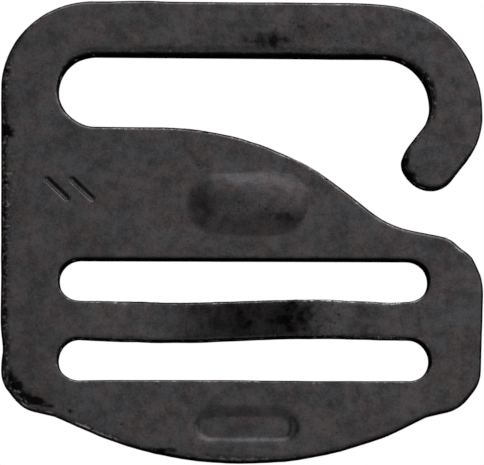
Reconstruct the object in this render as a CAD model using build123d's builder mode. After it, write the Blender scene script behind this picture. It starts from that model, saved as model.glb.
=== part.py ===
"""Flat hook for 38 mm webbing, stamped and pressed from one piece of sheet steel.

The plate lies flat. X runs along the webbing slots, Y points to the hook and Z is the plate's normal,
towards the face with the raised blister. The origin is under the middle of the outline, level with the
lowest point of the wavy bar. Millimetres.
"""

import os
from math import atan2, cos, radians, sin, tan

from build123d import *

# Sheet and webbing
SHEET = 2.5
WEBBING_WIDTH = 38.0
WEBBING_CLEARANCE = 2.0
EDGE_RADIUS = 0.45
SLOT_EDGE_RADIUS = 0.25

# Outline of the plate, with its corners still sharp
PLATE_WIDTH = 52.8
PLATE_HEIGHT = 50.5
SIDE_TAPER = 0.75
TOP_CORNER_RADIUS = 9.8

# Webbing slots and the wavy bar between them
SLOT_WIDTH = 4.6
BAR_WIDTH = 4.0
BAR_LEVEL = 0.303  # the bar's middle, as a share of the plate's height
SLOTS_OFF_CENTRE = 0.3
BAR_WAVE = 1.6
BAR_ROOT = 1.0

# Hook slot and the bent finger that closes it
TOP_BAR_WIDTH = 5.9
LEFT_SIDE_WIDTH = 6.35
HOOK_SIDE_WIDTH = 5.65
HOOK_SLOT_HEIGHT = 8.2
HOOK_SIDE_FLAT = 0.6
HOOK_INNER_FLAT = 0.17
FINGER_ANGLE = 52.0
FINGER_LENGTH = 8.35
FINGER_WIDTH = 5.95
FINGER_OUTER_RADIUS = 8.0
FINGER_INNER_RADIUS = 4.2

# Ramp that leads from the hook slot down to the mouth
RAMP_CREST_INSET = 23.8
RAMP_CREST_SHARE = 0.665  # of the ramp's length, taken up by the rounding of its crest
RAMP_FOOT_INSET = 10.34
RAMP_FOOT_RADIUS = 11.0
MOUTH_GAP = 5.0
MOUTH_WEB = 3.0  # steel between the upper webbing slot and the mouth floor, under the tip
MOUTH_FLOOR_ANGLE = 10.5
SHOULDER_RADIUS = 6.4

# Lower corners and the curved thumb tab
CORNER_ABOVE_TAB = 8.55
CORNER_CUT_WIDTH = 2.2
CORNER_CUT_HEIGHT = 2.75
CORNER_RADIUS = 3.6
TAB_INSET = 6.5
TAB_DEPTH = 4.95
TAB_FLANK_ANGLE = 23.7
TAB_ROOT_RADIUS = 3.3

# Blister pressed up through the plate, and the grip pressed down into the tab
BLISTER_LENGTH = 13.8
BLISTER_WIDTH = 7.4
BLISTER_HEIGHT = 1.2
BLISTER_BEFORE_CREST = 1.95
BLISTER_LEVEL = 0.414  # its middle, as a share of the bridge between the upper slot and the hook slot
BLISTER_BLEND = 0.6
BLISTER_HOLLOW_BLEND = 0.3
GRIP_LENGTH = 10.7
GRIP_WIDTH = 3.05
GRIP_DEPTH = 0.55
GRIP_OFF_CENTRE = 0.4
GRIP_ABOVE_EDGE = 3.85
GRIP_DRAFT = 30.0
GRIP_BLEND = 0.2

# Share of a round end's height that each of its two corner radii takes
END_ROUNDNESS = 0.49

back = BAR_WAVE
front = back + SHEET
left, right = -PLATE_WIDTH / 2, PLATE_WIDTH / 2
bottom, top = -PLATE_HEIGHT / 2, PLATE_HEIGHT / 2


def along(angle, length):
    """A step of this length in the direction of this angle, in degrees from +X."""
    return Vector(length * cos(radians(angle)), length * sin(radians(angle)))


def meet(point, angle, other, other_angle):
    """Where two lines cross, each given by a point on it and its angle in degrees."""
    step, gap = along(angle, 1), Vector(*other) - Vector(*point)
    other_step = along(other_angle, 1)
    return Vector(*point) + step * (gap.cross(other_step).Z / step.cross(other_step).Z)


# Webbing slots, one above and one below the bar
slot_length = WEBBING_WIDTH + WEBBING_CLEARANCE
slot_straight = slot_length - SLOT_WIDTH
slot_pitch = SLOT_WIDTH + BAR_WIDTH
bar_y = bottom + BAR_LEVEL * PLATE_HEIGHT
slot_centres = [(SLOTS_OFF_CENTRE, bar_y + slot_pitch / 2), (SLOTS_OFF_CENTRE, bar_y - slot_pitch / 2)]
upper_slot_top = bar_y + BAR_WIDTH / 2 + SLOT_WIDTH

# Finger: its round tip stands over the mouth floor, and its outer flank meets the hook's right side
flank = along(FINGER_ANGLE, FINGER_LENGTH)
across_tip = along(FINGER_ANGLE + 90, FINGER_WIDTH)
tip_round = (across_tip + along(FINGER_ANGLE, FINGER_WIDTH)) / 2
floor_to_tip = along(90 - MOUTH_FLOOR_ANGLE, FINGER_WIDTH / 2 + MOUTH_GAP)
tip_outer = Vector(right - flank.X, upper_slot_top + MOUTH_WEB + floor_to_tip.Y - tip_round.Y)
tip_inner = tip_outer + across_tip
finger_outer = tip_outer + flank
hook_slot_right = right - HOOK_SIDE_WIDTH
hook_slot_top = top - TOP_BAR_WIDTH
hook_slot_left = left + LEFT_SIDE_WIDTH
hook_slot_bottom = hook_slot_top - HOOK_SLOT_HEIGHT
finger_inner = meet(tip_inner, FINGER_ANGLE, (hook_slot_right, hook_slot_top), 90)

# The hook's bends fill the height that the finger's own bend leaves them, up to a short flat
finger_turn = tan(radians(90 - FINGER_ANGLE) / 2)
hook_bend_radius = top - finger_outer.Y - FINGER_OUTER_RADIUS * finger_turn - HOOK_SIDE_FLAT
hook_inner_radius = hook_slot_top - finger_inner.Y - FINGER_INNER_RADIUS * finger_turn - HOOK_INNER_FLAT

# Ramp and mouth floor: the floor runs below the tip by the mouth's gap
floor_point = tip_outer + tip_round - floor_to_tip
shoulder = meet(floor_point, -MOUTH_FLOOR_ANGLE, (right, top), 90)
ramp_foot = meet(floor_point, -MOUTH_FLOOR_ANGLE, (right - RAMP_FOOT_INSET, top), 90)
ramp_crest = Vector(right - RAMP_CREST_INSET, hook_slot_bottom)
ramp = ramp_foot - ramp_crest
ramp_crest_radius = RAMP_CREST_SHARE * ramp.length / tan(atan2(-ramp.Y, ramp.X) / 2)

# Lower corners, and the tab's two flanks, which meet below its rounded edge
corner_x, corner_y = right - SIDE_TAPER, bottom + CORNER_ABOVE_TAB
cut_x, cut_y = corner_x - CORNER_CUT_WIDTH, corner_y - CORNER_CUT_HEIGHT
tab_root_x, tab_root_y = right - TAB_INSET, bottom + TAB_DEPTH
tab_apex_drop = tab_root_x * tan(radians(TAB_FLANK_ANGLE)) - TAB_DEPTH
tab_edge_radius = tab_apex_drop / (1 / cos(radians(TAB_FLANK_ANGLE)) - 1)
tip_radius = END_ROUNDNESS * FINGER_WIDTH
hook_slot_end_radius = END_ROUNDNESS * HOOK_SLOT_HEIGHT

# Corners of the open outline, clockwise from the top left, each with the radius that rounds it
outline_corners = [
    ((left, top), TOP_CORNER_RADIUS),
    ((right, top), hook_bend_radius),
    (finger_outer, FINGER_OUTER_RADIUS),
    (tip_outer, tip_radius),
    (tip_inner, tip_radius),
    (finger_inner, FINGER_INNER_RADIUS),
    ((hook_slot_right, hook_slot_top), hook_inner_radius),
    ((hook_slot_left, hook_slot_top), hook_slot_end_radius),
    ((hook_slot_left, hook_slot_bottom), hook_slot_end_radius),
    (ramp_crest, ramp_crest_radius),
    (ramp_foot, RAMP_FOOT_RADIUS),
    (shoulder, SHOULDER_RADIUS),
    ((corner_x, corner_y), CORNER_RADIUS),
    ((cut_x, cut_y), CORNER_RADIUS),
    ((tab_root_x, tab_root_y), TAB_ROOT_RADIUS),
    ((0, bottom - tab_apex_drop), tab_edge_radius),
    ((-tab_root_x, tab_root_y), TAB_ROOT_RADIUS),
    ((-cut_x, cut_y), CORNER_RADIUS),
    ((-corner_x, corner_y), CORNER_RADIUS),
]
corners, corner_radii = zip(*outline_corners)

# Presses
blister_y = upper_slot_top + BLISTER_LEVEL * (hook_slot_bottom - upper_slot_top)
blister_centre = (ramp_crest.X - BLISTER_BEFORE_CREST, blister_y)
blister_radius = (BLISTER_WIDTH**2 / 4 + BLISTER_HEIGHT**2) / (2 * BLISTER_HEIGHT)
blister_straight = BLISTER_LENGTH - BLISTER_WIDTH
grip_centre = (GRIP_OFF_CENTRE, bottom + GRIP_ABOVE_EDGE)


def wave(height):
    """One face of the bar, from end to end: flat root, trough, crest, flat root."""
    half = slot_straight / 2
    middle = Vector(SLOTS_OFF_CENTRE, height)
    start, end = middle - (half, 0), middle + (half, 0)
    trough, crest = middle - (half / 2, BAR_WAVE), middle + (half / 2, BAR_WAVE)
    Line(start - (BAR_ROOT, 0), start)
    Spline(start, trough, crest, end, tangents=[(1, 0)] * 4)
    Line(end, end + (BAR_ROOT, 0))


def capsule(radius, straight):
    """A round bar along X with ball ends."""
    Cylinder(radius, straight, rotation=(0, 90, 0))
    with Locations((-straight / 2, 0, 0), (straight / 2, 0, 0)):
        Sphere(radius)


def edges_near(part, centre, length, width):
    """The part's edges whose middle lies in a rectangle of this length and width about a point."""
    def inside(edge):
        offset = edge.position_at(0.5) - Vector(*centre)
        return abs(offset.X) < length / 2 and abs(offset.Y) < width / 2

    return part.edges().filter_by(inside)


# The dome and the punch share one axis, so the pressed wall keeps the sheet's thickness
blister_axis = Plane((*blister_centre, front + BLISTER_HEIGHT - blister_radius))

with BuildPart(blister_axis) as blister_dome:
    capsule(blister_radius, blister_straight)
    split(bisect_by=Plane.XY.offset(back + SHEET / 2), keep=Keep.TOP)

with BuildPart(blister_axis) as blister_punch:
    capsule(blister_radius - SHEET, blister_straight)

with BuildPart() as g_hook:
    # Blank: the outline with its hook slot, the webbing slots and room for the bar
    with BuildSketch(Plane.XY.offset(back)) as blank:
        with BuildLine():
            FilletPolyline(*corners, radius=corner_radii, close=True)
        make_face()
        with Locations(*slot_centres):
            SlotOverall(slot_length, SLOT_WIDTH, mode=Mode.SUBTRACT)
        with Locations((SLOTS_OFF_CENTRE, bar_y)):
            Rectangle(slot_straight, BAR_WIDTH, mode=Mode.SUBTRACT)
    extrude(amount=SHEET)

    # Wavy bar, drawn from the side
    with BuildSketch(Plane.XZ.offset(-bar_y)) as bar_side:
        with BuildLine():
            wave(back)
            wave(front)
            for side in (-1, 1):
                root_x = SLOTS_OFF_CENTRE + side * (slot_straight / 2 + BAR_ROOT)
                Line((root_x, back), (root_x, front))
        make_face()
    extrude(amount=BAR_WIDTH / 2, both=True)

    # Tumbled edges: round on the outline, tighter round the webbing slots and along the bar
    plate_faces = g_hook.faces().filter_by(Axis.Z)
    outline_rims = plate_faces.group_by(Axis.Z)[0][0].outer_wire().edges()
    outline_rims += plate_faces.group_by(Axis.Z)[-1][0].outer_wire().edges()
    fillet(outline_rims, radius=EDGE_RADIUS)
    slots_field = (slot_length + SLOT_EDGE_RADIUS, slot_pitch + SLOT_WIDTH + SLOT_EDGE_RADIUS)
    slot_rims = edges_near(g_hook, (SLOTS_OFF_CENTRE, bar_y), *slots_field)
    slot_rims = slot_rims.filter_by(Axis.Z, reverse=True).filter_by(Axis.Y, reverse=True)
    fillet(slot_rims, radius=SLOT_EDGE_RADIUS)

    # Blister, blended into the front face, with the punch's hollow behind it
    add(blister_dome.part)
    blister_field = (BLISTER_LENGTH + BLISTER_BLEND, BLISTER_WIDTH + BLISTER_BLEND)
    blister_foot = edges_near(g_hook, blister_centre, *blister_field).group_by(Axis.Z)[0]
    fillet(blister_foot, radius=BLISTER_BLEND)
    add(blister_punch.part, mode=Mode.SUBTRACT)
    hollow_mouth = edges_near(g_hook, blister_centre, *blister_field).group_by(Axis.Z)[0]
    fillet(hollow_mouth, radius=BLISTER_HOLLOW_BLEND)

    # Grip: pressed in on the front, raised on the back
    for face_height, mode in ((front, Mode.SUBTRACT), (back, Mode.ADD)):
        with BuildSketch(Plane.XY.offset(face_height)):
            with Locations(grip_centre):
                SlotOverall(GRIP_LENGTH, GRIP_WIDTH)
        extrude(amount=-GRIP_DEPTH, taper=GRIP_DRAFT, mode=mode)
    grip_field = (GRIP_LENGTH + GRIP_BLEND, GRIP_WIDTH + GRIP_BLEND)
    grip_rims = edges_near(g_hook, grip_centre, *grip_field).filter_by(
        lambda edge: abs(edge.tangent_at(0.5).Z) < 0.01
    )
    fillet(grip_rims, radius=GRIP_BLEND)

g_hook.part.label = "g_hook"
os.makedirs("parts", exist_ok=True)
export_step(g_hook.part, "parts/g_hook.step")
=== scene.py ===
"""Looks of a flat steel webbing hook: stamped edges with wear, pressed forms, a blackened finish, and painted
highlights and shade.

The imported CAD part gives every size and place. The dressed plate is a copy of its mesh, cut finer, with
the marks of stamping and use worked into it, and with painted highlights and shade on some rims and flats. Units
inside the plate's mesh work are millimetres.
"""

import logging
import math
from collections.abc import Callable
from dataclasses import dataclass
from enum import Enum

import bmesh
import bpy
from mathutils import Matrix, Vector, noise
from mathutils.bvhtree import BVHTree


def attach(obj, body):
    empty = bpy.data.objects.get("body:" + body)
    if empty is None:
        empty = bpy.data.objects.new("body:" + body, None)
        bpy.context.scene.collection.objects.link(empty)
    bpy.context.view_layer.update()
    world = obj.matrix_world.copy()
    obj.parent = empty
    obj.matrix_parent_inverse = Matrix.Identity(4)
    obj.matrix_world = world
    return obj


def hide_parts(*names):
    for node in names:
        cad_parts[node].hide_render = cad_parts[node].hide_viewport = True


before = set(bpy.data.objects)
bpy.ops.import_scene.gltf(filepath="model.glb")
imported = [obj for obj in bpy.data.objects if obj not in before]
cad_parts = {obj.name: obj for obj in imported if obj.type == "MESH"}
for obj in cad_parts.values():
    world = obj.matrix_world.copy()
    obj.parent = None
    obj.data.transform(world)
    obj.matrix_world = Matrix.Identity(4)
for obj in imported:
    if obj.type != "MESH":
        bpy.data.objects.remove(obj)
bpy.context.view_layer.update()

logging.basicConfig(level=logging.INFO, format="%(message)s")
log = logging.getLogger("hook")

MM = 0.001


class Axis(Enum):
    """The plate's two directions in plan."""

    ACROSS = 0
    UP = 1


def smooth(value: float, low: float, high: float) -> float:
    """A soft step.

    Args:
        value: What is compared.
        low: The step is 0 up to here.
        high: The step is 1 from here.

    Returns:
        A number from 0 to 1.
    """
    t = min(1.0, max(0.0, (value - low) / (high - low)))
    return t * t * (3 - 2 * t)


def ripple(x: float, y: float, size: float, seed: float) -> float:
    """Smooth noise in plan.

    Args:
        x: Place across the plate.
        y: Place up the plate.
        size: Width of one bump.
        seed: Picks another pattern.

    Returns:
        A number of about -1 to 1.
    """
    return noise.noise(Vector((x / size, y / size, seed)))


class Nodes:
    """A short way to wire the nodes of a material or a world."""

    def __init__(self, owner: bpy.types.Material | bpy.types.World) -> None:
        """Clears the owner's nodes and starts an empty tree."""
        owner.use_nodes = True
        self.tree = owner.node_tree
        self.tree.nodes.clear()

    def add(self, kind: str, inputs: dict[str | int, object] | None = None, **settings: object) -> bpy.types.Node:
        """Adds one node.

        Args:
            kind: The node's type name, without the word ShaderNode.
            inputs: Values or sockets for its inputs, by name or number.
            settings: The node's own options.

        Returns:
            The new node.
        """
        node = self.tree.nodes.new("ShaderNode" + kind)
        for name, value in settings.items():
            setattr(node, name, value)
        for name, value in (inputs or {}).items():
            socket = node.inputs[name]
            if isinstance(value, bpy.types.NodeSocket):
                self.tree.links.new(value, socket)
            else:
                socket.default_value = value
        return node

    def ramp(self, value: bpy.types.NodeSocket, low: float, high: float, start: float = 0.0, end: float = 1.0):
        """Turns one range of a value into another, with soft ends.

        Args:
            value: The socket to read.
            low: Lower end of what is read.
            high: Upper end of what is read.
            start: Result at the lower end.
            end: Result at the upper end.

        Returns:
            The result's socket.
        """
        ends = {"Value": value, "From Min": low, "From Max": high, "To Min": start, "To Max": end}
        return self.add("MapRange", ends, interpolation_type="SMOOTHSTEP").outputs["Result"]

    def speckle(self, place: bpy.types.NodeSocket, size: float, detail: float = 2.0) -> bpy.types.NodeSocket:
        """Noise whose blotches are about this wide, in metres.

        Args:
            place: Coordinates to read.
            size: Width of one blotch.
            detail: Number of finer layers.

        Returns:
            The noise's socket.
        """
        return self.add("TexNoise", {"Vector": place, "Scale": 1 / size, "Detail": detail}).outputs["Fac"]

    def blend(self, share: bpy.types.NodeSocket | float, a: object, b: object) -> bpy.types.NodeSocket:
        """Mixes two colours.

        Args:
            share: How much of the second colour.
            a: First colour or socket.
            b: Second colour or socket.

        Returns:
            The mixed colour's socket.
        """
        mix = self.add("Mix", data_type="RGBA")
        for index, value in ((0, share), (6, a), (7, b)):
            if isinstance(value, bpy.types.NodeSocket):
                self.tree.links.new(value, mix.inputs[index])
            else:
                mix.inputs[index].default_value = value
        return mix.outputs[2]

    def tone(self, colour: bpy.types.NodeSocket, level: float) -> bpy.types.NodeSocket:
        """The same colour, darker or lighter by this factor."""
        return self.add("VectorMath", {0: colour, "Scale": level}, operation="SCALE").outputs[0]

    def times(self, a: object, b: object) -> bpy.types.NodeSocket:
        """Product of two values."""
        return self.add("Math", {0: a, 1: b}, operation="MULTIPLY").outputs[0]

    def plus(self, a: object, b: object) -> bpy.types.NodeSocket:
        """Sum of two values."""
        return self.add("Math", {0: a, 1: b}, operation="ADD").outputs[0]

    def largest(self, a: object, b: object) -> bpy.types.NodeSocket:
        """The larger of two values."""
        return self.add("Math", {0: a, 1: b}, operation="MAXIMUM").outputs[0]


@dataclass(frozen=True)
class BlackenedSteel:
    """Dark phosphate finish over sheet steel: mottled, grainy, pitted, and bright at the rims from wear; rims that
    face the light get painted highlights, and rims that face away and a few set patches get painted shade as dark
    staining.
    """

    warm: tuple[float, float, float, float] = (0.0518, 0.0448, 0.0456, 1)
    cool: tuple[float, float, float, float] = (0.0446, 0.0444, 0.0470, 1)
    soot_and_shade: tuple[float, float, float, float] = (0.0040, 0.0037, 0.0035, 1)
    bare_and_highlight: tuple[float, float, float, float] = (0.13, 0.122, 0.12, 1)
    polished_and_highlight: tuple[float, float, float, float] = (0.48, 0.45, 0.43, 1)
    metallic: float = 0.92
    roughness: tuple[float, float] = (0.26, 0.33)
    blotch: float = 4.0 * MM
    cloud: float = 1.1 * MM
    grain: float = 0.20 * MM
    pit: float = 0.42 * MM

    def build(self) -> bpy.types.Material:
        """Makes the material.

        Returns:
            The finished material.
        """
        material = bpy.data.materials.new("blackened_steel")
        nodes = Nodes(material)
        place = nodes.add("TexCoord").outputs["Object"]
        rim_wear_and_highlight = nodes.add("Attribute", attribute_name="rim_wear_and_highlight").outputs["Fac"]
        stain_and_shade = nodes.add("Attribute", attribute_name="stain_and_shade").outputs["Fac"]
        pitting = nodes.add("Attribute", attribute_name="pitting").outputs["Fac"]
        grain = nodes.speckle(place, self.grain, 3)
        cloud = nodes.speckle(place, self.cloud, 4)
        blotch = nodes.speckle(place, self.blotch, 5)
        pit = nodes.speckle(place, self.pit, 3)

        colour = nodes.blend(nodes.ramp(nodes.speckle(place, self.blotch * 0.6, 3), 0.40, 0.60), self.warm, self.cool)
        shade = nodes.plus(nodes.plus(grain, cloud), nodes.times(blotch, 0.7))
        shade = nodes.ramp(shade, 0.95, 1.75, 0.0, 1.0)
        colour = nodes.blend(shade, nodes.tone(colour, 0.62), nodes.tone(colour, 1.42))

        hole = nodes.ramp(nodes.plus(pit, nodes.times(pitting, 0.16)), 0.70, 0.75)
        # Dark crust: real staining plus painted shade, namely the dark band on rims that face left, away from the
        # light, and set dark patches on the blister's lower right and the bar's middle, all in the near-black colour.
        crust_and_shade = nodes.ramp(nodes.plus(nodes.times(stain_and_shade, 0.75), nodes.times(cloud, 0.8)), 0.56, 0.90)
        dark = nodes.largest(nodes.times(hole, 0.65), nodes.times(crust_and_shade, nodes.ramp(stain_and_shade, 0.0, 0.2)))
        colour = nodes.blend(dark, colour, self.soot_and_shade)

        # Bare and polished flakes on the rims: real wear, plus painted highlight, since the rim wear attribute is
        # raised on rims that face the light and in set patches along the bar's right-hand edges.
        flake = nodes.plus(nodes.speckle(place, 0.38 * MM, 3), nodes.times(rim_wear_and_highlight, 0.20))
        worn_and_highlight = nodes.times(nodes.ramp(flake, 0.60, 0.74), nodes.ramp(rim_wear_and_highlight, 0.02, 0.2))
        colour = nodes.blend(worn_and_highlight, colour, nodes.blend(nodes.ramp(rim_wear_and_highlight, 1.0, 1.6), self.bare_and_highlight, self.polished_and_highlight))
        rough = nodes.ramp(cloud, 0.3, 0.7, *self.roughness)
        metal = nodes.ramp(worn_and_highlight, 0, 1, self.metallic, 1.0)
        gloss = nodes.ramp(dark, 0, 1, 0.5, 0.05)
        relief = nodes.plus(nodes.plus(grain, nodes.times(cloud, 1.2)), nodes.times(hole, -1.0))
        bump = nodes.add("Bump", {"Height": relief, "Strength": 0.6, "Distance": 0.014 * MM})
        shader = nodes.add(
            "BsdfPrincipled",
            {
                "Base Color": colour,
                "Metallic": metal,
                "Roughness": rough,
                "Specular IOR Level": gloss,
                "Normal": bump.outputs[0],
            },
        )
        nodes.add("OutputMaterial", {"Surface": shader.outputs[0]})
        return material


@dataclass(frozen=True)
class Dent:
    """A soft local push of the outline, in plan, in millimetres."""

    x: float
    y: float
    reach: float
    push: tuple[float, float]

    def at(self, x: float, y: float) -> Vector:
        """The push at a point in plan."""
        return math.exp(-((x - self.x) ** 2 + (y - self.y) ** 2) / self.reach**2) * Vector((*self.push, 0))


@dataclass(frozen=True)
class Patch:
    """A place with more staining, painted shade, pits, wear, painted highlight or rolling than the rest, in
    millimetres; its strength is from 0 to 1.
    """

    x: float
    y: float
    across: float
    up: float
    strength: float

    def at(self, x: float, y: float) -> float:
        """How strong it is at a point in plan."""
        return self.strength * math.exp(-(((x - self.x) / self.across) ** 2) - ((y - self.y) / self.up) ** 2)


@dataclass(frozen=True)
class PressedField:
    """An oval field round one pressed form, in millimetres. The shares are of its height, kept at each side."""

    x: float
    y: float
    across: float
    up: float
    step: float
    blur: float
    crease: float
    crown: float = 0.0
    left_share: float = 1.0
    low_share: float = 1.0
    high_share: float = 1.0

    def away(self, place: Vector) -> float:
        """How far out a point lies in plan, from 0 at the middle to 1 at the border."""
        return (((place.x - self.x) / self.across) ** 4 + ((place.y - self.y) / self.up) ** 4) ** 0.25

    def holds(self, place: Vector) -> bool:
        """Whether a point lies in the field, in plan."""
        return self.away(place) < 1

    def share(self, place: Vector) -> float:
        """How much of the form's height is kept at a point in plan, falling to none at the border."""
        right = smooth((place.x - self.x) / self.across, -0.95, 0.1)
        high = smooth((place.y - self.y) / self.up, -0.7, 0.5)
        kept = (self.left_share + (1 - self.left_share) * right) * (
            self.low_share + (self.high_share - self.low_share) * high
        )
        return kept * (1 - smooth(self.away(place), 0.86, 0.99))


@dataclass(frozen=True)
class Stroke:
    """A straight punched line, in millimetres."""

    start: tuple[float, float]
    end: tuple[float, float]
    half_width: float = 0.42
    depth: float = 0.27

    def distance(self, x: float, y: float) -> float:
        """How far a point in plan is from the line."""
        start, end = Vector(self.start), Vector(self.end)
        along = end - start
        share = min(1.0, max(0.0, (Vector((x, y)) - start).dot(along) / along.length_squared))
        return (Vector((x, y)) - start - share * along).length

    def at(self, x: float, y: float) -> float:
        """How deep it is at a point in plan."""
        return self.depth * (1 - smooth(self.distance(x, y), 0.02, self.half_width))


@dataclass
class DressedPlate:
    """The hook as it looks after stamping, pressing, tumbling and use, with painted highlights and shade on some rims
    and flats.
    """

    node: bpy.types.Object
    body_step: float = 2.0
    rim_step: float = 0.25
    rim_width: float = 1.25
    punch_step: float = 0.1
    swell: float = 0.03
    wobble: float = 0.03
    wobble_size: float = 1.6
    burr: float = 0.018
    burr_size: float = 0.5
    slots_box: tuple[float, float, float, float] = (-20.2, -17.0, 20.8, -3.0)
    strokes: tuple[Stroke, ...] = (
        Stroke((-21.1, 5.3), (-18.9, 3.2)),
        Stroke((-18.4, 5.3), (-16.2, 3.2)),
    )
    dents: tuple[Dent, ...] = (
        Dent(-25.8, -12.9, 1.1, (0.24, 0)),
        Dent(-25.8, -9.6, 1.6, (-0.06, 0)),
        Dent(-11.0, 25.2, 2.5, (0, 0.11)),
        Dent(15.8, 25.2, 2.5, (0, -0.13)),
        Dent(9.5, 19.2, 3.2, (0, -0.10)),
        Dent(15.0, 19.2, 3.2, (0, -0.10)),
        Dent(-18.3, 12.4, 2.5, (0.09, 0.10)),
        Dent(17.3, 7.2, 1.3, (-0.2, 0)),
        Dent(-11.0, -7.9, 2.6, (0, 0.08)),
        Dent(12.0, -7.9, 2.0, (0, -0.12)),
        Dent(15.8, -7.9, 2.0, (0, -0.15)),
        Dent(-14.0, -11.9, 2.4, (0, -0.15)),
        Dent(-9.5, -11.9, 2.4, (0, -0.15)),
        Dent(-5.0, -11.9, 2.4, (0, -0.14)),
        Dent(-0.8, -11.9, 2.4, (0, -0.09)),
        Dent(-13.0, -16.6, 3.0, (0, 0.08)),
        Dent(-7.0, -16.6, 3.0, (0, 0.08)),
        Dent(-1.0, -16.6, 3.0, (0, 0.09)),
        Dent(15.9, -22.4, 2.6, (0.08, -0.17)),
        Dent(10.6, -24.3, 2.6, (0.03, -0.09)),
        Dent(6.0, -25.0, 2.6, (0, -0.07)),
        Dent(22.4, -1.1, 0.9, (0.04, 0.08)),
        Dent(23.5, -2.3, 0.7, (-0.10, -0.10)),
        Dent(24.7, -3.2, 0.7, (0.07, 0.07)),
    )
    # Real staining, with painted shade in the patches marked below.
    stains_and_shade: tuple[Patch, ...] = (
        Patch(-24.6, -16.3, 0.6, 1.1, 0.9),
        Patch(-24.0, -17.3, 0.8, 0.7, 1.0),
        Patch(-23.1, -18.2, 0.9, 0.7, 1.0),
        Patch(-21.9, -18.7, 1.1, 0.5, 0.95),
        Patch(-20.6, -19.2, 1.0, 0.4, 0.7),
        Patch(-18.1, -19.8, 0.5, 0.4, 0.6),
        Patch(-8.6, -23.9, 2.0, 0.4, 0.6),
        Patch(2.8, 21.0, 4.0, 1.1, 0.62),
        Patch(8.0, 22.2, 3.8, 0.8, 0.55),
        Patch(9.6, -19.2, 1.0, 0.9, 0.4),
        Patch(-25.5, 10.6, 0.9, 0.8, 0.9),
        Patch(19.6, 6.4, 2.2, 2.2, 0.25),
        # Painted shade on the blister's lower right, which faces away from the light.
        Patch(4.9, 0.9, 1.9, 1.2, 0.5),
        # Painted shade on the bar's middle, where its slope faces away from the light.
        Patch(0.2, -10.0, 2.2, 3.0, 0.45),
        Patch(5.6, -10.0, 3.8, 3.0, 0.6),
    )
    pits: tuple[Patch, ...] = (
        Patch(7.0, -10.0, 3.4, 1.8, 1.0),
        Patch(1.0, 2.0, 6.0, 2.2, 0.45),
        Patch(-5.5, 2.4, 1.2, 2.6, 0.6),
        Patch(8.0, 20.6, 8.0, 2.0, 0.45),
    )
    wear_and_highlight: tuple[Patch, ...] = (
        Patch(-15.5, -22.3, 5.0, 2.0, 1.8),
        Patch(-20.5, -20.4, 2.6, 1.2, 1.8),
        Patch(-23.9, -19.3, 1.6, 1.0, 1.4),
        Patch(0.0, -25.2, 7.0, 0.8, 1.0),
        # Painted highlights along the right half of the bar's two edges, where the bar catches the light; the other
        # patches here are real wear.
        Patch(13.5, -11.9, 5.0, 0.6, 1.6),
        Patch(13.5, -7.9, 6.0, 0.6, 1.2),
        Patch(25.9, 11.5, 1.2, 4.0, 1.2),
        Patch(24.0, -2.5, 2.0, 1.5, 0.5),
    )
    rolled: tuple[Patch, ...] = (Patch(-1.5, 19.0, 26.0, 1.9, 1.0), Patch(-2.0, -25.2, 8.0, 1.2, 0.4))
    pressed: tuple[PressedField, ...] = (
        PressedField(0.65, 2.65, 8.4, 5.0, 0.25, 0.9, crease=0.16, crown=0.9, left_share=0.3, low_share=0.72),
        PressedField(0.4, -21.5, 6.4, 2.9, 0.2, 0.85, crease=0.12, high_share=0.9, low_share=1.2),
    )

    def dice(self, mesh: bmesh.types.BMesh, faces: list, axis: Axis, low: float, high: float, step: float) -> None:
        """Cuts faces across one direction, halving until no piece is wider than the step.

        Args:
            mesh: The mesh that is cut.
            faces: The faces that may be cut.
            axis: Direction that the cuts follow each other in.
            low: Where the span starts.
            high: Where the span ends.
            step: Widest span that stays whole.
        """
        if high - low <= step * 1.5 or not faces:
            return
        middle = low + step * round((high - low) / step / 2)
        normal, centre = Vector((0, 0, 0)), Vector((0, 0, 0))
        normal[axis.value], centre[axis.value] = 1, middle
        edges = {e for f in faces for e in f.edges}
        verts = {v for f in faces for v in f.verts}
        cut = bmesh.ops.bisect_plane(mesh, geom=[*verts, *edges, *faces], dist=0.015, plane_co=centre, plane_no=normal)
        parts = [f for f in cut["geom"] if isinstance(f, bmesh.types.BMFace)]
        below = [f for f in parts if f.calc_center_median()[axis.value] < middle]
        above = [f for f in parts if f.calc_center_median()[axis.value] >= middle]
        self.dice(mesh, below, axis, low, middle, step)
        self.dice(mesh, above, axis, middle, high, step)

    def refine(self, mesh: bmesh.types.BMesh, wanted: Callable[[bmesh.types.BMFace], bool], step: float) -> None:
        """Cuts the faces that are wanted into a grid.

        Args:
            mesh: The mesh that is cut.
            wanted: Tells whether a face is cut.
            step: Width of the grid.
        """
        for axis in Axis:
            faces = [f for f in mesh.faces if wanted(f)]
            if not faces:
                return
            spans = [v.co[axis.value] for f in faces for v in f.verts]
            self.dice(mesh, faces, axis, min(spans), max(spans), step)

    def near_slots(self, x: float, y: float) -> bool:
        """Whether a point in plan is within the field of the two webbing slots."""
        left, low, right, high = self.slots_box
        return left < x < right and low < y < high

    def walls(self, mesh: bmesh.types.BMesh, of_slots: bool) -> BVHTree:
        """The upright walls, either of the webbing slots or of the outline.

        Args:
            mesh: The mesh before its wear is worked in.
            of_slots: Whether the slots' walls are wanted.

        Returns:
            A tree that finds the nearest wall.
        """
        corners, polygons = [], []
        for face in mesh.faces:
            centre = face.calc_center_median()
            upright = abs(face.normal.z) < 0.2 and face.calc_area() > 0.01
            if upright and self.near_slots(centre.x, centre.y) == of_slots:
                polygons.append([len(corners) + i for i in range(len(face.verts))])
                corners += [v.co.copy() for v in face.verts]
        return BVHTree.FromPolygons(corners, polygons)

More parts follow.
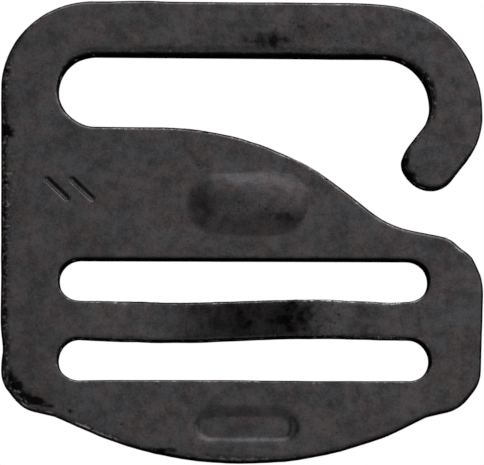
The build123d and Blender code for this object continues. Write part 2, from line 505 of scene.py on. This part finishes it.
    def shift(self, x: float, y: float, distance: float, outward: Vector) -> Vector:
        """Where use and stamping have pushed the rims.

        Args:
            x: Place across the plate.
            y: Place up the plate.
            distance: Distance to the nearest wall.
            outward: That wall's direction.

        Returns:
            The push in plan.
        """
        near = math.exp(-((distance / 1.5) ** 2))
        close = math.exp(-((distance / 0.5) ** 2))
        push = near * (self.swell + self.wobble * ripple(x, y, self.wobble_size, 1.0)) * outward
        push += close * (0.4 if self.near_slots(x, y) else 1) * self.burr * ripple(x, y, self.burr_size, 2.0) * outward
        for dent in self.dents:
            push += dent.at(x, y)
        push.z = 0
        return push

    def soften(self, mesh: bmesh.types.BMesh, field: PressedField) -> None:
        """Redraws one pressed form on an even grid, with its creases softened.

        Args:
            mesh: The mesh that is changed.
            field: Where the form is.
        """
        surface = BVHTree.FromBMesh(mesh)

        def level(x: float, y: float) -> float:
            """Height of the front face at a point in plan."""
            hit = surface.ray_cast(Vector((x, y, 50)), Vector((0, 0, -1)))[0]
            return hit.z if hit and hit.z > self.front - 0.8 else self.front

        def pressed(face: bmesh.types.BMFace) -> bool:
            """Whether a face belongs to the pressed form."""
            flat = face.normal.z > 0.9999 and abs(face.verts[0].co.z - self.front) < 0.001
            centre = face.calc_center_median()
            return face.normal.z > 0.05 and centre.z > self.front - 0.8 and field.holds(centre) and not flat

        joined = bmesh.ops.dissolve_faces(mesh, faces=[f for f in mesh.faces if pressed(f)])["region"]
        for v in {v for f in joined for v in f.verts}:
            v.co.z = self.front
        mesh.normal_update()
        self.refine(mesh, lambda f: f.normal.z > 0.99 and field.holds(f.calc_center_median()), field.step)
        around = [math.radians(30 * turn) for turn in range(12)]
        heights = {}
        for v in mesh.verts:
            x, y, z = v.co
            if abs(z - self.front) < 0.001 and field.holds(v.co):
                corner = smooth((x - field.x) / field.across, -0.3, 0.6) * smooth((y - field.y) / field.up, -0.3, 0.5)
                blur = field.blur + field.crown * corner
                near = [
                    level(x + reach * math.cos(turn), y + reach * math.sin(turn))
                    for reach in (0.5 * blur, blur)
                    for turn in around
                ]
                heights[v] = 0.2 * level(x, y) + 0.8 * sum(near) / len(near) - self.front
        deepest = min(heights.values())
        for v, height in heights.items():
            sharp = max(height - field.crease, 0) if height > 0 else max(height, deepest + field.crease)
            v.co.z = self.front + sharp * field.share(v.co)

    def wear(self, mesh: bmesh.types.BMesh) -> None:
        """Rolls the rims over, pushes the outline, punches the strokes, and marks staining and wear, with painted
        highlights on rims that face the light and painted shade on rims that face left and in set patches.
        """
        outline, slots = self.walls(mesh, False), self.walls(mesh, True)
        layers = mesh.verts.layers.float
        rim_wear_and_highlight, stain_and_shade, pitting = layers.new("rim_wear_and_highlight"), layers.new("stain_and_shade"), layers.new("pitting")
        mesh.normal_update()
        moves = []
        for v in mesh.verts:
            x, y, z = v.co
            level = Vector((x, y, min(max(z, self.front - 1.7), self.front - 0.8)))
            _, outward, _, distance = outline.find_nearest(level)
            _, slot_outward, _, slot_distance = slots.find_nearest(Vector((x, y, z)))
            on_slot = slot_distance < distance
            side = slot_outward if on_slot else outward
            push = self.shift(x, y, min(distance, slot_distance), side)
            # Painted highlight: rims that face up and to the right, towards the light, get more bare and polished
            # flakes.
            lit = smooth(side.y + 0.5 * side.x, 0.1, 0.8)
            left_facing = smooth(-side.x, 0.3, 0.8) * (1 - smooth(side.y, 0.2, 0.6))
            low_facing = smooth(-side.y, 0.1, 0.8) * (not on_slot)
            rolled = low_facing * max(patch.at(x, y) for patch in self.rolled)
            width = 0.50 + (0.40 if on_slot else 0.60) * left_facing + 0.12 * low_facing + rolled
            width *= 1 + 0.5 * ripple(x, y, 1.1, 3.0)
            depth = (0.15 if on_slot else 0.11) - 0.02 * low_facing + 0.32 * rolled
            gap = min(distance, slot_distance)
            if v.normal.z > 0.1 and gap < width:
                push.z -= depth * (1 - gap / width) ** 1.4
            if v.normal.z > 0.99 and abs(z - self.front) < 0.01:
                push.z -= max(stroke.at(x, y) for stroke in self.strokes)
            # Real wear in set patches, plus the painted highlight of the lit side and of the patches on the bar's
            # right-hand edges.
            wear_and_highlight = 0.2 + 0.8 * lit + sum(patch.at(x, y) for patch in self.wear_and_highlight)
            rim_share = smooth(v.normal.z, 0.1, 0.3) * (1 - smooth(gap, 0.25 * width, 0.75 * width))
            reach = 0.15 if on_slot else 0.5
            # Painted shade: a dark band on rims that face left, away from the light, stored with the staining; on the
            # left edge it also gives flakes of wear.
            band = left_facing * (1 - smooth(gap, reach, reach * (2.3 + 0.8 * ripple(x, y, 0.9, 4.0))))
            v[rim_wear_and_highlight] = max(rim_share * min(1.6, wear_and_highlight), 0.5 * band * (x < -20 and not on_slot))
            seen = v.normal.z > -0.5
            v[stain_and_shade] = seen * max(band * (0.9 if on_slot else 0.5), *(patch.at(x, y) for patch in self.stains_and_shade))
            v[pitting] = seen * max(patch.at(x, y) for patch in self.pits)
            moves.append((v, push))
        for v, push in moves:
            v.co += push

    def build(self, finish: bpy.types.Material) -> bpy.types.Object:
        """Makes the dressed plate.

        Args:
            finish: The material it wears.

        Returns:
            The finished object, which stands for the CAD node.
        """
        mesh = bmesh.new()
        mesh.from_mesh(self.node.data)
        bmesh.ops.scale(mesh, vec=(1 / MM,) * 3, verts=mesh.verts)
        bmesh.ops.remove_doubles(mesh, verts=mesh.verts, dist=1e-4)
        mesh.normal_update()
        bmesh.ops.dissolve_limit(mesh, angle_limit=math.radians(0.3), verts=mesh.verts, edges=mesh.edges)
        upward = [f for f in mesh.faces if f.normal.z > 0.999]
        self.front = max(upward, key=lambda f: f.calc_area()).verts[0].co.z
        outline, slots = self.walls(mesh, False), self.walls(mesh, True)

        def gap(face: bmesh.types.BMFace) -> float:
            """How far a face is from the nearest wall."""
            centre = face.calc_center_median()
            return min(outline.find_nearest(centre)[3], slots.find_nearest(centre)[3])

        self.refine(mesh, lambda f: abs(f.normal.z) > 0.9999 or abs(f.normal.z) < 0.2, self.body_step)
        for field in self.pressed:
            self.soften(mesh, field)
        self.refine(mesh, lambda f: f.normal.z > 0.15 and gap(f) < self.rim_width + 1.4, self.rim_step * 4)
        self.refine(mesh, lambda f: f.normal.z > 0.15 and gap(f) < self.rim_width, self.rim_step)
        self.refine(
            mesh,
            lambda f: f.normal.z > 0.9 and min(s.distance(*f.calc_center_median().xy) for s in self.strokes) < 1.8,
            self.rim_step,
        )
        self.refine(
            mesh,
            lambda f: f.normal.z > 0.9 and min(s.distance(*f.calc_center_median().xy) for s in self.strokes) < 0.8,
            self.punch_step,
        )
        self.wear(mesh)
        bmesh.ops.triangulate(mesh, faces=[f for f in mesh.faces if len(f.verts) > 4])
        bmesh.ops.scale(mesh, vec=(MM,) * 3, verts=mesh.verts)
        data = bpy.data.meshes.new("g_hook_dressed")
        mesh.to_mesh(data)
        mesh.free()
        piece = bpy.data.objects.new("g_hook_dressed", data)
        bpy.context.scene.collection.objects.link(piece)
        data.shade_smooth()
        data.materials.append(finish)
        evened = piece.modifiers.new("even_normals", "WEIGHTED_NORMAL")
        evened.keep_sharp = True
        return piece


@dataclass(frozen=True)
class ProductCamera:
    """The photograph's view: almost straight down at the plate, from a little below and left of it."""

    aim: tuple[float, float, float] = (0.063 * MM, -0.488 * MM, 4.1 * MM)
    lean_down: float = 9.0
    lean_left: float = 1.2
    distance: float = 227.03 * MM
    focal: float = 156.2

    def build(self) -> bpy.types.Object:
        """Makes the camera and gives it to the scene.

        Returns:
            The camera object.
        """
        data = bpy.data.cameras.new("product_camera")
        data.lens, data.sensor_width = self.focal, 36.0
        data.clip_start, data.clip_end = 0.01, 50.0
        camera = bpy.data.objects.new("product_camera", data)
        bpy.context.scene.collection.objects.link(camera)
        left, down = math.sin(math.radians(self.lean_left)), math.sin(math.radians(self.lean_down))
        back = Vector((-left, -down, math.sqrt(1 - left**2 - down**2)))
        camera.location = Vector(self.aim) + back * self.distance
        side = Vector((0, 1, 0)).cross(back).normalized()
        up = back.cross(side)
        turn = camera.matrix_world.to_3x3()
        turn.col[0], turn.col[1], turn.col[2] = side, up, back
        camera.rotation_mode = "QUATERNION"
        camera.rotation_quaternion = turn.to_quaternion()
        bpy.context.scene.camera = camera
        return camera


@dataclass(frozen=True)
class SoftBox:
    """One rectangular studio light. Angles are in degrees from straight up, seen from the plate's middle."""

    name: str
    right: float
    up: float
    half_across: float
    half_up: float
    radiance: float
    distance: float = 0.6

    def build(self) -> bpy.types.Object:
        """Makes the light.

        Returns:
            The light object.
        """
        data = bpy.data.lights.new(self.name, "AREA")
        data.shape = "RECTANGLE"
        data.size = 2 * self.distance * math.tan(math.radians(self.half_across))
        data.size_y = 2 * self.distance * math.tan(math.radians(self.half_up))
        data.energy = self.radiance * math.pi * data.size * data.size_y
        light = bpy.data.objects.new(self.name, data)
        bpy.context.scene.collection.objects.link(light)
        direction = Vector((math.tan(math.radians(self.right)), math.tan(math.radians(self.up)), 1)).normalized()
        light.location = direction * self.distance
        side = Vector((0, 1, 0)).cross(direction).normalized()
        turn = light.matrix_world.to_3x3()
        turn.col[0], turn.col[1], turn.col[2] = side, direction.cross(side), direction
        light.rotation_mode = "QUATERNION"
        light.rotation_quaternion = turn.to_quaternion()
        light.visible_camera = False
        return light


@dataclass(frozen=True)
class Studio:
    """White table and room, soft light from the upper right."""

    table_radius: float = 3.0
    room_radius: float = 6.0
    room_light: float = 0.03
    boxes: tuple[SoftBox, ...] = (
        SoftBox("overhead_softbox", 10, 20, 27, 36, 0.97),
        SoftBox("right_softbox", 27, 18, 14, 32, 0.14),
        SoftBox("upper_right_softbox", 40, 44, 14, 14, 1.0),
        SoftBox("right_side_softbox", 60, 32, 15, 32, 1.4),
        SoftBox("back_strip", 8, 64, 36, 11, 2.3),
        SoftBox("back_low_strip", 5, 80, 34, 5, 7.0),
        SoftBox("front_fill", 4, -42, 34, 22, 0.52),
        SoftBox("left_fill", -56, 10, 15, 30, 0.6),
    )

    def white(self, name: str, strength: float) -> bpy.types.Material:
        """A plain white surface that is seen evenly lit.

        Args:
            name: The material's name.
            strength: Its brightness.

        Returns:
            The material.
        """
        material = bpy.data.materials.new(name)
        nodes = Nodes(material)
        glow = nodes.add("Emission", {"Color": (1, 1, 1, 1), "Strength": strength})
        nodes.add("OutputMaterial", {"Surface": glow.outputs[0]})
        return material

    def surround(self, name: str, mesh: bmesh.types.BMesh, strength: float) -> bpy.types.Object:
        """Turns a mesh into a part of the room that only the camera sees.

        Args:
            name: The object's name.
            mesh: Its shape.
            strength: Its brightness.

        Returns:
            The new object.
        """
        data = bpy.data.meshes.new(name)
        mesh.to_mesh(data)
        mesh.free()
        data.materials.append(self.white(name + "_white", strength))
        piece = bpy.data.objects.new(name, data)
        bpy.context.scene.collection.objects.link(piece)
        for sight in ("diffuse", "glossy", "transmission", "shadow", "volume_scatter"):
            setattr(piece, "visible_" + sight, False)
        return piece

    def air(self) -> bpy.types.World:
        """Faint light from everywhere above the table, and none from below it.

        Returns:
            The world.
        """
        world = bpy.data.worlds.new("studio_air")
        nodes = Nodes(world)
        way = nodes.add("TexCoord").outputs["Generated"]
        height = nodes.add("SeparateXYZ", {0: way}).outputs["Z"]
        light = nodes.ramp(height, 0.0, 0.1, 0.0, self.room_light)
        glow = nodes.add("Background", {"Color": (1, 1, 1, 1), "Strength": light})
        nodes.add("OutputWorld", {"Surface": glow.outputs[0]})
        return world

    def build(self) -> None:
        """Makes the table, the room and the lights."""
        table = bmesh.new()
        bmesh.ops.create_circle(table, cap_ends=True, radius=self.table_radius, segments=96)
        bmesh.ops.translate(table, vec=(0, 0, -0.02 * MM), verts=table.verts)
        self.surround("table", table, 1.0)
        room = bmesh.new()
        bmesh.ops.create_icosphere(room, subdivisions=4, radius=self.room_radius)
        bmesh.ops.reverse_faces(room, faces=room.faces)
        self.surround("room", room, 0.93)
        for box in self.boxes:
            box.build()
        bpy.context.scene.world = self.air()
        bpy.context.scene.view_settings.view_transform = "Standard"


def main() -> None:
    """Builds the dressed hook, the studio and the camera."""
    finish = BlackenedSteel().build()
    plate = DressedPlate(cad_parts["g_hook"]).build(finish)
    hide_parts("g_hook")
    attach(plate, "root")
    log.info("plate: %d triangles", sum(len(p.vertices) - 2 for p in plate.data.polygons))
    Studio().build()
    ProductCamera().build()
    log.info("studio and camera are in place")


if __name__ == "__main__":
    main()
